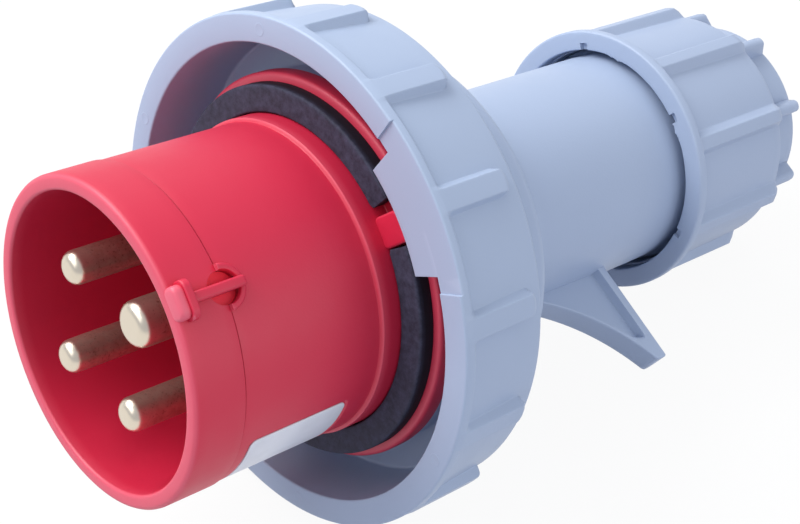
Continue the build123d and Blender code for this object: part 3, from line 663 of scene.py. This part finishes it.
# Rows run from the middle of the front over the edge to the middle of the back, as shares of the outline
label_share = np.concatenate((
    np.linspace(0, label_inner, front_rows), (0.996, 1.0, 1.0), np.linspace(label_inner, 0, back_rows),
))[:, None]
label_height = np.concatenate((
    np.full(front_rows, label_top), label_top - np.array((0.02, 0.08)), np.full(1 + back_rows, label_back),
))[:, None]
label_station = label_middle + label_share * label_edge[:, 0]
label_turned = label_clock + np.degrees(np.arcsin(label_share * label_edge[:, 1] / label_top))
label_points = place(label_station, label_height + 0 * label_station, label_turned)
label = show("rating_label_film", label_points, label_white, close_rows=False)
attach(label, "plug_body")
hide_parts("rating_label")


# Locking ring
# The grey coupling ring that turns on the carrier and pulls the plug into its socket: a plain lip, a panel
# that tapers back, fourteen finger ribs, two bayonet lugs in the bore and two sunk sectors in the front.
# Moulded in one piece; four round ejector marks of the mould show on its front face.
ring_front, ring_rear, lip_end, lip_radius, lip_edge = 39.3, 60.9, 41.2, 47.7, 0.45
panel_front, panel_start, panel_rear, panel_end, rear_radius = 46.6, 42.3, 45.7, 58.5, 43.3
ring_bore_front, ring_bore_rear, bore_band, back_rim_radius = 42.6, 42.1, 0.45, 40.5
web_front, web_rear, hub_front, hub_radius, hub_bore = 54.0, 57.6, 48.7, 35.48, 31.08
grip_count, grip_crest, grip_crest_width, grip_foot_width = 14, 47.9, 3.8, 5.4
grip_end, grip_end_round, grip_end_draw, grip_floor, grip_margin = 56.0, 1.2, 1.4, 45.2, 0.3
lug_clocks, lug_half, lug_bore, lug_rear = (38.6, 218.6), 14.5, 36.9, 44.7
lug_bend, lug_slope, lug_before, lug_behind = 42.0, 1.3, 0.4, 0.02
sector_half, sector_depth, sector_band, step_half = 18.2, 0.45, 1.0, 0.05
mark_clocks, mark_radius, mark_size, mark_rise = (-22.5, 98.0, 157.6, 277.3), 45.1, 1.2, 0.05

ring_grey = moulded_plastic(
    "coupling_grey", colour=(0.388, 0.466, 0.612), shade=(0.365, 0.440, 0.582), edge=(0.56, 0.63, 0.77),
    roughness=0.42, edge_paling=0.2
)


def nearest(clock, centres):
    """Signed turn in degrees from the nearest of the centres to each clock angle."""
    turn = (np.asarray(clock)[..., None] - np.asarray(centres) + 180) % 360 - 180
    pick = np.abs(turn).argmin(-1)
    return np.take_along_axis(turn, pick[..., None], -1)[..., 0]


def rib_share(arc, foot, crest, ease=0.16):
    """Share of a rib's height by the arc from its middle: 0 beyond half the foot, 1 within half the crest,
    a straight flank between, and a parabola at each bend."""
    share = (foot / 2 - arc) / ((foot - crest) / 2)
    low = np.clip(share + ease, 0, 2 * ease) ** 2 / (4 * ease)
    high = np.clip(share - 1 + ease, 0, 2 * ease) ** 2 / (4 * ease)
    return np.where(share < ease, low, np.minimum(share, 1 + ease) - high)


def rib_columns(centres, foot, crest, radius, step):
    """Clock angles that are even all round and dense where the flanks of the ribs stand."""
    flank = np.array((-0.16, -0.08, 0, 0.08, 0.16, 0.5, 0.84, 0.92, 1.0, 1.08, 1.16))
    across = np.degrees((crest / 2 + (foot - crest) / 2 * flank) / radius)
    between = np.arange(across[-1] + 0.1, 360 / len(centres) - across[-1] - 0.1, step)
    top = np.linspace(-0.9 * across[0], 0.9 * across[0], 5)
    columns = np.concatenate((-across, across, between, top))
    return (np.asarray(centres)[:, None] + columns).ravel() % 360


ring_line = rounded([
    (ring_front, ring_bore_front, 0.35), (ring_front, lip_radius, lip_edge), (lip_end, lip_radius, 0.25),
    (panel_start, panel_front, 0.8), (panel_end, panel_rear, 0.6), (ring_rear, rear_radius, 0.5),
    (ring_rear, back_rim_radius, 0.4), (web_rear, back_rim_radius, 0.5), (web_rear, hub_radius, 0.5),
    (ring_rear, hub_radius, 0.3), (ring_rear, hub_bore, 0.2), (hub_front, hub_bore, 0.2),
    (hub_front, hub_radius, 0.3), (web_front, hub_radius, 0.6), (web_front, ring_bore_rear, 0.6),
])

# Columns stand where the flanks of the ribs, lugs and sectors are
grip_centres = key_clock + np.arange(grip_count) * 360 / grip_count
grip_clocks = rib_columns(grip_centres, grip_foot_width, grip_crest_width, grip_crest, 2.0)
steps = np.array((-0.35, -step_half, step_half, 0.35))
step_columns = np.concatenate([
    c + way * (half + steps) for c in lug_clocks for way in (-1, 1) for half in (sector_half, lug_half)
])
ring_clocks = np.unique(np.concatenate((grip_clocks, step_columns % 360)).round(3))

# Rows stand close where the ribs round off at their rear ends, and at the front and rear of the lugs
ring_rows = dense(ring_line, 2.5)
on_panel = (ring_rows[:, 1] > grip_floor) & (ring_rows[:, 0] > lip_end - grip_margin)
on_panel &= ring_rows[:, 0] < panel_end + grip_margin
end_stations = np.concatenate((
    np.linspace(grip_end - grip_end_round - grip_end_draw, grip_end, 14), grip_end + np.array((0.04, 0.3)),
))
ring_rows = with_rows(ring_rows, on_panel, end_stations, np.interp(end_stations, *ring_rows[on_panel].T))
lug_steps = np.array((0, 0.005, 0.010, 0.015, 0.020, 0.025, 0.12, 0.4))
lug_rise = np.array((0.02, 0.2, 0.4, 0.6, 0.8, 0.93, 0.985, 1))
lug_front = ring_front + sector_depth
lug_stations = np.concatenate((lug_front + lug_steps, (lug_bend, ), lug_rear - lug_steps[::-1]))
lug_heights = np.concatenate((lug_rise, (1, ), lug_rise[::-1]))
bore_stations = np.concatenate(((ring_front + lug_before, ), lug_stations, (lug_rear + lug_behind, )))
bore_radii = np.interp(bore_stations, (ring_front, web_front), (ring_bore_front, ring_bore_rear))
bore_middle = (ring_bore_front + ring_bore_rear) / 2
on_bore = (np.abs(ring_rows[:, 1] - bore_middle) < bore_band) & (ring_rows[:, 0] > ring_front + 0.6)
ring_rows = with_rows(ring_rows, on_bore, bore_stations, bore_radii, way=-1)
station, radius, clock = turned_grid(ring_rows, ring_clocks)

# Ribs rise to their crest and round off along a quarter circle, earlier at their flanks
grip_arc = np.abs(nearest(clock, grip_centres)) * np.pi / 180 * grip_crest
grip_share = rib_share(grip_arc, grip_foot_width, grip_crest_width)
grip_stop = grip_end - grip_end_draw * np.clip(2 * grip_arc / grip_foot_width, 0, 1) ** 3
fall = np.clip((station - grip_stop + grip_end_round) / grip_end_round, 0, 1)
grip_top = grip_crest - grip_end_round * (1 - np.sqrt(1 - fall ** 2))
on_grip = (station > lip_end - grip_margin) & (station <= grip_stop) & (radius > grip_floor)
radius += on_grip * grip_share * np.maximum(grip_top - radius, 0)

# Lugs stand inwards from the bore, and their rear face slopes
lug_turn = nearest(clock, lug_clocks)
lug_share = np.clip((lug_half + step_half - np.abs(lug_turn)) / (2 * step_half), 0, 1)
lug_height = np.interp(station, lug_stations, lug_heights)
in_lug = (np.abs(radius - bore_middle) < bore_band) & (station >= lug_front - 0.01)
in_lug &= station <= lug_rear + 0.01
radius += in_lug * lug_share * lug_height * (lug_bore - radius)
lug_back = lug_rear - lug_slope * (lug_turn + lug_half) / (2 * lug_half)
lug_stretch = 1 + lug_share * ((lug_back - lug_bend) / (lug_rear - lug_bend) - 1)
behind_bend = in_lug & (station > lug_bend)
station = np.where(behind_bend, lug_bend + (station - lug_bend) * lug_stretch, station)

# Sectors of the front face are sunk, and the lip behind them is squeezed by as much
sector_share = np.clip((sector_half + step_half - np.abs(lug_turn)) / (2 * step_half), 0, 1)
lip_sink = sector_depth * np.clip((lip_end - station) / (lip_end - ring_front), 0, 1)
face_sink = np.maximum(lug_front - station, 0)
on_lip = radius > lip_radius - sector_band
station = station + sector_share * np.where(on_lip, lip_sink, face_sink)
ring = show("locking_ring_moulding", place(station, radius, clock), ring_grey)
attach(ring, "coupling_ring")
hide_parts("locking_ring")

mark_turn = np.radians(np.linspace(0, 360, 32, endpoint=False))
mark_line = np.stack((
    mark_rise * np.array((0.6, 0.6, 1.0, 1.0, 0.4, -2.0, -2.0)),
    mark_size * np.array((0, 0.75, 0.86, 0.94, 1.0, 1.0, 0)),
), axis=1)
for index, clock in enumerate(mark_clocks):
    mark_centre = place(ring_front, mark_radius, clock)
    mark_points = spun(mark_centre, -axis, outward(clock), outward(clock + 90), mark_line, mark_turn)
    ejector_mark = show(f"ejector_mark_{index + 1}", mark_points, ring_grey, close_rows=False)
    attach(ejector_mark, "coupling_ring")


# Rear housing
# The grey body behind the ring: a bell over the carrier's skirt, a cone, and a tube that holds the cable
# cores and carries the gland's thread. A finger fin stands out of the tube for pulling the plug out.
# One moulding, with the thread as a rounded ridge on its end.
bell_front, bell_end, bell_radius, bell_bore = 61.2, 70.7, 35.4, 29.1
cone_end, tube_radius, tube_bore, end_bore = 82.7, 22.3, 19.4, 20.2
thread_start, thread_end, thread_radius, thread_root, thread_pitch = 129.0, 147.5, 23.4, 22.4, 3.0
thread_runout, housing_end, end_taper = 1.5, 148.5, 4
seal_stop, seal_bore = 71.1, 26.0
fin_clock, fin_thickness, fin_edge_round, fin_tip_round = 115.5, 5.6, 0.45, 0.6
fin_front_points = ((82.0, 20.85), (96.7, 30.2), (107.1, 43.6))
fin_rear_root, fin_rear_tip = np.array((107.6, 20.85)), np.array((109.8, 43.6))
fin_border, fin_rear_border, fin_tip_border, fin_tip_slope = 1.1, 2.0, 6.0, 0.8
fin_front_sink, fin_rear_sink, fin_narrow, fin_widening = 0.3, 1.9, 5.0, 2.0

housing_grey = moulded_plastic(
    "housing_grey", colour=(0.390, 0.468, 0.618), shade=(0.370, 0.445, 0.592), edge=(0.58, 0.65, 0.78),
    roughness=0.44
)
housing_line = dense(rounded([
    (bell_front, bell_bore, 0.3), (bell_front, bell_radius, 0.8), (bell_end, bell_radius, 2.5),
    (cone_end, tube_radius, 4.0), (thread_start, tube_radius, 0.2), (thread_start + 0.8, thread_root, 0.2),
    (thread_end, thread_root, 0.2), (housing_end, tube_radius - 0.2, 0.2), (housing_end, end_bore, 0.2),
    (housing_end - end_taper, tube_bore, 0.5), (cone_end, tube_bore, 3.0),
    (seal_stop, seal_bore, 0.3), (seal_stop, bell_bore, 0.3),
]), 0.5)
station, radius, clock = turned_grid(housing_line, np.arange(0, 360, 3.0))

# The thread's ridge is a wave of the station in pitches plus the turn, flat at its foot and crest, and it
# fades in and out at both ends
thread_wave = (station - thread_start) / thread_pitch + clock / 360
thread_rise = np.clip(1.6 * (0.5 - 0.5 * np.cos(2 * np.pi * thread_wave)) - 0.2, 0, 1)
from_ends = np.minimum(station - thread_start, thread_end - station)
thread_share = np.clip(from_ends / thread_runout, 0, 1) * thread_rise * (radius > tube_radius - 0.3)
radius += thread_share * (thread_radius - thread_root)
housing = show("rear_housing_moulding", place(station, radius, clock), housing_grey)
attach(housing, "plug_body")
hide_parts("rear_housing")


def arc_through(first, middle, last, shares):
    """Points at shares of the arc through three points. Its centre lies on the normal through the chord's
    middle, as far from the middle point as from the two ends."""
    first, middle, last = (np.array(p) for p in (first, middle, last))
    chord, heart = last - first, (first + last) / 2
    normal = np.array((-chord[1], chord[0])) / np.linalg.norm(chord)
    sag = middle - heart
    centre = heart - normal * (((np.linalg.norm(chord) / 2) ** 2 - sag @ sag) / (2 * (sag @ normal)))
    start, end = (math.atan2(*(p - centre)[::-1]) for p in (first, last))
    swing = start + ((end - start + np.pi) % (2 * np.pi) - np.pi) * shares
    return centre + np.linalg.norm(first - centre) * np.stack((np.cos(swing), np.sin(swing)), axis=1)


# The fin is a strip from the tube to its tip: an arc for the front edge, a straight rear edge, and a
# rounded end where both edges draw in
fin_rows = np.concatenate((
    np.linspace(0, 0.7, 30), np.linspace(0.72, 0.94, 14), 1 - 0.055 * np.linspace(1, 0, 12) ** 2,
))
fin_front = arc_through(*fin_front_points, fin_rows)
fin_rear = fin_rear_root + (fin_rear_tip - fin_rear_root) * fin_rows[:, None]
fin_width = np.linalg.norm(fin_rear - fin_front, axis=1)
from_tip = fin_front[-1, 1] - fin_front[:, 1]
pull = np.clip(1 - from_tip / fin_tip_round, 0, 1)
pull = 1 - np.sqrt(np.clip(1 - pull ** 2, 0, 1))
inset = np.minimum(pull * fin_tip_round, fin_width / 2)
fin_across = (fin_rear - fin_front) / fin_width[:, None]
fin_front = fin_front + fin_across * inset[:, None]
fin_rear = fin_rear - fin_across * inset[:, None]
fin_width = np.linalg.norm(fin_rear - fin_front, axis=1)[:, None]

# Both faces are sunk between borders, deeper to the rear. Each half has nine columns: five round its edge
# and four down the border's step, a hair apart where the fin is narrow
edge_turn = np.linspace(np.pi / 2, 0, 5)
edge_in = fin_edge_round * (1 - np.sin(edge_turn))
edge_high = fin_thickness / 2 - fin_edge_round * (1 - np.cos(edge_turn))
border_steps, border_falls = np.array((0, 0.12, 0.4, 0.55)), np.array((0, 0.12, 0.93, 1.0))
apart = 1 + 0.001 * np.arange(9)
front_in = np.minimum(np.concatenate((edge_in, fin_border + border_steps)), 0.30 * fin_width * apart)
rear_in = np.minimum(np.concatenate((edge_in, fin_rear_border + border_steps)), 0.42 * fin_width * apart)
face_high = np.concatenate((edge_high, np.full(4, fin_thickness / 2)))
face_fall = np.concatenate((np.zeros(5), border_falls))
face_fall = face_fall * np.clip((from_tip - fin_tip_border) / fin_tip_slope, 0, 1)[:, None]
face_fall = face_fall * np.clip((fin_width - fin_narrow) / fin_widening, 0, 1)
fin_lines = np.concatenate((front_in, fin_width - rear_in[:, ::-1]), axis=1)
fin_highs = np.concatenate((
    face_high - face_fall * fin_front_sink, (face_high - face_fall * fin_rear_sink)[:, ::-1],
), axis=1)
fin_lines = np.concatenate((fin_lines, fin_lines[:, ::-1]), axis=1)
fin_highs = np.concatenate((fin_highs, -fin_highs[:, ::-1]), axis=1)
fin_flat = fin_front[:, None] + fin_across[:, None] * fin_lines[..., None]
fin_middle = fin_flat.mean(1, keepdims=True) + 0 * fin_flat
fin_flat = np.concatenate((fin_middle[:1], fin_flat, fin_middle[-1:]))
fin_highs = np.concatenate((0 * fin_highs[:1], fin_highs, 0 * fin_highs[-1:]))
fin_points = place(fin_flat[..., 0], fin_flat[..., 1], fin_clock)
fin_points = fin_points + MM * fin_highs[..., None] * outward(fin_clock + 90)
fin = show("finger_fin", fin_points, housing_grey, close_rows=False)
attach(fin, "plug_body")


# Gland nut
# The grey nut that squeezes the cable rubber: a round front flange with small nicks and flash in its
# mouth, nine grip ribs that carry on as rounded pegs over a narrower tail, and a hole for the cable.
# Moulded, with the inside thread hidden behind the flange.
nut_front, nut_mouth, nut_flange, nut_flange_end, flange_step = 124.3, 23.9, 27.9, 126.3, 1.0
nut_body_front, nut_body_rear, nut_shoulder, nut_tail, nut_end = 25.6, 25.1, 155.6, 20.6, 166.6
nut_thread, nut_inside, mouth_end = 23.48, 24.6, 127.9
chamber_front, chamber_rear, chamber_radius = 153.4, 158.8, 19.2
cable_hole, cable_flare = 13.5, 1.5
nut_rib_count, nut_rib_clock, nut_crest, nut_rib_foot, nut_rib_top = 9, 10.1, 27.4, 5.2, 2.6
shoulder_slope, peg_crest, peg_end, peg_half = 1.5, 24.2, 165.6, 1.95
peg_slope_start, peg_edge_start, peg_edge_drop = 1.5, 0.3, 0.9
nick_clocks, nick_half, nick_high, nick_deep, nick_edge = (-29.0, 35.0, 94.0, 214.0), 2.2, 1.4, 1.0, 0.1
flash_clocks, flash_half, flash_rise = (-8.0, 41.0, 150.0), 6.0, 0.5
flash_high, flash_deep = 0.32, 0.35

nut_grey = moulded_plastic(
    "nut_grey", colour=(0.385, 0.460, 0.606), shade=(0.367, 0.438, 0.580), edge=(0.60, 0.66, 0.78),
    roughness=0.43
)
nick_top, nick_floor = nut_mouth + nick_high, nut_front + nick_deep
nut_line = rounded([
    (nut_front, nut_mouth, 0.3), (nut_front, nick_top, 0), (nut_front, nick_top + nick_edge, 0),
    (nut_front, nut_flange, 0.5), (nut_flange_end, nut_flange, 0.4),
    (nut_flange_end + flange_step, nut_body_front, 0.5), (nut_shoulder, nut_body_rear, 0.9),
    (nut_shoulder, nut_tail, 0.5), (nut_end, nut_tail, 0.9), (nut_end, cable_hole + cable_flare, 0.5),
    (nut_end - cable_flare, cable_hole, 0.8), (chamber_rear, cable_hole, 0.2),
    (chamber_rear, chamber_radius, 0.2), (chamber_front, chamber_radius, 0.2),
    (chamber_front, nut_thread, 0.2), (mouth_end, nut_thread, 0.2), (mouth_end, nut_mouth, 0.2),
    (nick_floor + nick_edge, nut_mouth, 0), (nick_floor, nut_mouth, 0),
])
nut_centres = nut_rib_clock + np.arange(nut_rib_count) * 360 / nut_rib_count
nick_columns = np.concatenate([c + np.array((-1.0, -0.93, 0, 0.93, 1.0)) * nick_half for c in nick_clocks])
flash_columns = np.concatenate([c + np.linspace(-1, 1, 15) * flash_half for c in flash_clocks])
nut_clocks = rib_columns(nut_centres, nut_rib_foot, nut_rib_top, nut_crest, 2.5)
nut_clocks = np.unique(np.concatenate((nut_clocks, nick_columns % 360, flash_columns % 360)).round(2))
station, radius, clock = turned_grid(dense(nut_line, 1.5), nut_clocks)

# Ribs on the body slope down at the shoulder and carry on as pegs with a rounded section
rib_top = np.array((
    (nut_front, nut_crest), (nut_shoulder - shoulder_slope, nut_crest), (nut_shoulder, nut_body_rear),
))
peg_top = np.array((
    (nut_shoulder, peg_crest), (peg_end - peg_slope_start, peg_crest),
    (peg_end - peg_edge_start, peg_crest - peg_edge_drop), (peg_end, nut_tail),
))
on_body = (radius > nut_inside) & (station > nut_flange_end - 0.5)
on_tail = (station > nut_shoulder - 0.1) & (radius > nut_tail - 0.05) & (radius < nut_body_rear)
nut_top = np.where(on_tail, np.interp(station, *peg_top.T), radius)
nut_top = np.where(on_body, np.interp(station, *rib_top.T), nut_top)
nut_arc = np.abs(nearest(clock, nut_centres)) * np.pi / 180 * nut_crest
peg_share = np.sqrt(1 - np.clip(nut_arc / peg_half, 0, 1) ** 3)
nut_share = np.where(on_tail, peg_share, rib_share(nut_arc, nut_rib_foot, nut_rib_top))
radius += nut_share * np.maximum(nut_top - radius, 0)

# Nicks are cut back into the mouth's edge, and flash stands inwards from it, as ragged as two sine waves
# of the turn that multiply
mouth_edge = (radius < nick_top + 0.05) & (station < nick_floor + 0.05)
in_nick = mouth_edge & (np.abs(nearest(clock, nick_clocks)) < 0.96 * nick_half)
station = np.where(in_nick, np.maximum(station, nick_floor), station)
flash_turn = nearest(clock, flash_clocks)
ragged = 0.55 + 0.45 * np.sin(2.1 * flash_turn) * np.sin(0.9 * flash_turn + 1)
on_flash = (radius < nut_mouth + flash_high) & (station < nut_front + flash_deep)
on_flash &= mouth_edge & ~in_nick
flash_share = np.clip(1 - (flash_turn / flash_half) ** 2, 0, 1) * ragged * on_flash
radius -= flash_rise * flash_share
nut = show("gland_nut_moulding", place(station, radius, clock), nut_grey)
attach(nut, "nut_body")
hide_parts("gland_nut")


# Terminal and plate screws
# Zinc-plated steel screws inside the plug: four that clamp the cores in the pins' barrels and two that
# hold the retainer plate. Turned and plated, with a faint yellow passivation.
def plated_steel(name, colour, tint):
    """Bright zinc plating: cool grey with a slow yellowish bloom, fine scratches and uneven gloss."""
    material, tree, surface, where = finish(name)
    bloom = noise(tree, where, fineness=420.0, detail=4.0)
    feed(tree, surface, {
        "Metallic": 1.0,
        "Base Color": two_tones(tree, bloom, colour, tint),
        "Roughness": spread(tree, bloom, 0.22, 0.45),
        "Normal": bumps(tree, noise(tree, where, fineness=2400.0), strength=0.2, depth=0.00004),
    })
    return material


def refinish(names, material):
    """Gives a real material to solids that are shown as they are."""
    for name in names:
        frame["nodes"][name].data.materials.clear()
        frame["nodes"][name].data.materials.append(material)


screw_steel = plated_steel("screw_zinc", (0.62, 0.63, 0.64), (0.66, 0.62, 0.50))
refinish(("phase_screw_1", "phase_screw_2", "phase_screw_3", "earth_screw", "retainer_screws"), screw_steel)


# Retainer plate, clamp claw and slip washer
# Dark engineering plastic inside the plug: the plate that keeps the pins in the carrier, the fingers that
# the nut presses on the cable rubber, and the washer that the nut turns against.
inner_plastic = moulded_plastic(
    "inner_dark_nylon", colour=(0.035, 0.036, 0.040), shade=(0.028, 0.028, 0.031), edge=(0.10, 0.10, 0.11),
    roughness=0.5
)
refinish(("retainer_plate", "clamp_claw", "slip_washer"), inner_plastic)


# Cable grommet and housing seal
# Black rubber: the grommet that is squeezed round the cable and can be seen through the nut's hole, and
# the ring that seals the carrier's skirt in the bell. Clean, since no cable has been through them.
clean_rubber = dusty_rubber_with_painted_shade("grommet_rubber", (0.018, 0.018, 0.020), (0.060, 0.058, 0.062), 0.5)
refinish(("cable_grommet", "housing_seal"), clean_rubber)
